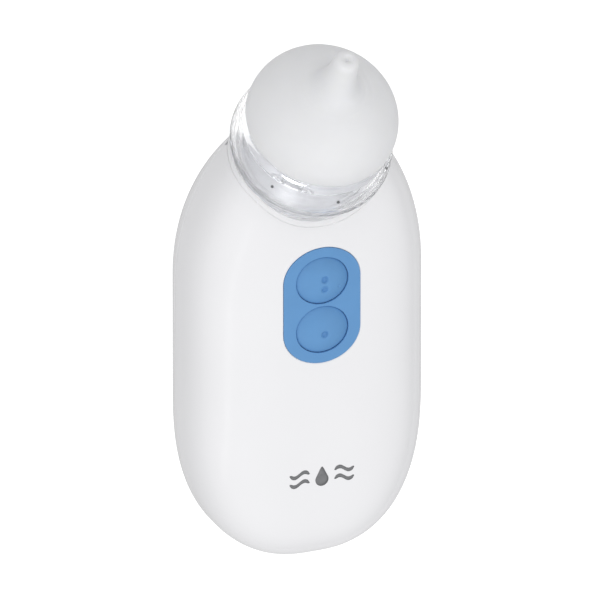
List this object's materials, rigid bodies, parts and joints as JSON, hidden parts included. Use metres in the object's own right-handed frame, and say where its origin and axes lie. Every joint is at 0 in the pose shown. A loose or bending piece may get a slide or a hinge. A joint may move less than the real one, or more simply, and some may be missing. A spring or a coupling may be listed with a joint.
{
  "type": "nasal aspirator",
  "caption": "Battery nasal aspirator: flat-backed pebble casing with push buttons, clear collection cup, soft dome nozzle and sliding battery door.",
  "frame": {"origin": "on the flat back, under the middle of the object's length and width; the object lies on its back with the buttons up", "axes": "+X across the face to the right, +Y along the body towards the nozzle, +Z out of the button face"},
  "size_m": [0.062, 0.144, 0.0522],
  "materials": {
    "casing_white": "polished ABS",
    "inner_white": "plain moulded",
    "button_blue": "satin, slightly soft",
    "switch_black": "plain moulded",
    "board_green": "solder mask",
    "cell_sleeve": "printed sleeve, plain",
    "plated_steel": "nickel plated",
    "spring_metal": "drawn wire",
    "soft_black": "moulded rubber",
    "soft_frosted": "translucent frosted silicone",
    "clear_plastic": "clear polished"
  },
  "bodies": {
    "casing": {"front_shell": "casing_white", "back_shell": "casing_white", "mid_frame": "inner_white", "cup_seat": "casing_white", "button_panel": "button_blue", "circuit_board": "board_green", "indicator_lamp": "clear_plastic", "switch_high": "switch_black", "switch_low": "switch_black", "battery_left": "cell_sleeve", "battery_right": "cell_sleeve", "contact_bridge": "plated_steel", "contact_minus": "plated_steel", "contact_plus": "plated_steel", "spring_minus": "spring_metal", "spring_bridge": "spring_metal", "motor_can": "plated_steel", "pump_bracket": "inner_white", "pump_ring": "inner_white", "diaphragm": "soft_black", "valve_plate": "inner_white", "valve_flap_inlet": "soft_black", "valve_flap_outlet": "soft_black", "pump_head": "switch_black", "suction_hose": "soft_frosted", "frame_screw_1": "plated_steel", "frame_screw_2": "plated_steel", "frame_screw_3": "plated_steel", "frame_screw_4": "plated_steel", "case_screw_left": "plated_steel", "case_screw_right": "plated_steel"},
    "battery_door": {"battery_door": "casing_white"},
    "button_high": {"button_high": "button_blue", "plunger_high": "switch_black"},
    "button_low": {"button_low": "button_blue", "plunger_low": "switch_black"},
    "cup": {"collection_cup": "clear_plastic", "splash_cap": "soft_frosted", "cup_seal": "soft_frosted"},
    "nozzle": {"nozzle": "soft_frosted"},
    "rotor": {"motor_shaft": "plated_steel", "eccentric": "inner_white"}
  },
  "joints": [
    {"name": "button_high_press", "type": "slide", "parent": "casing", "child": "button_high", "axis": [0, 0, -1], "range_m": [0, 0.0008], "stiffness_N_per_m": 1000},
    {"name": "button_low_press", "type": "slide", "parent": "casing", "child": "button_low", "axis": [0, 0, -1], "range_m": [0, 0.0008], "stiffness_N_per_m": 1000},
    {"name": "door_slide", "type": "slide", "parent": "casing", "child": "battery_door", "axis": [0, -1, 0], "range_m": [0, 0.07]},
    {"name": "cup_pull", "type": "slide", "parent": "casing", "child": "cup", "axis": [0, 0.7986, 0.6018], "range_m": [0, 0.045]},
    {"name": "nozzle_pull", "type": "slide", "parent": "cup", "child": "nozzle", "axis": [0, 0.7986, 0.6018], "range_m": [0, 0.03]},
    {"name": "motor_spin", "type": "hinge", "parent": "casing", "child": "rotor", "pos_m": [0, 0.00704, 0.0145], "axis": [1, 0, 0], "continuous": true}
  ]
}
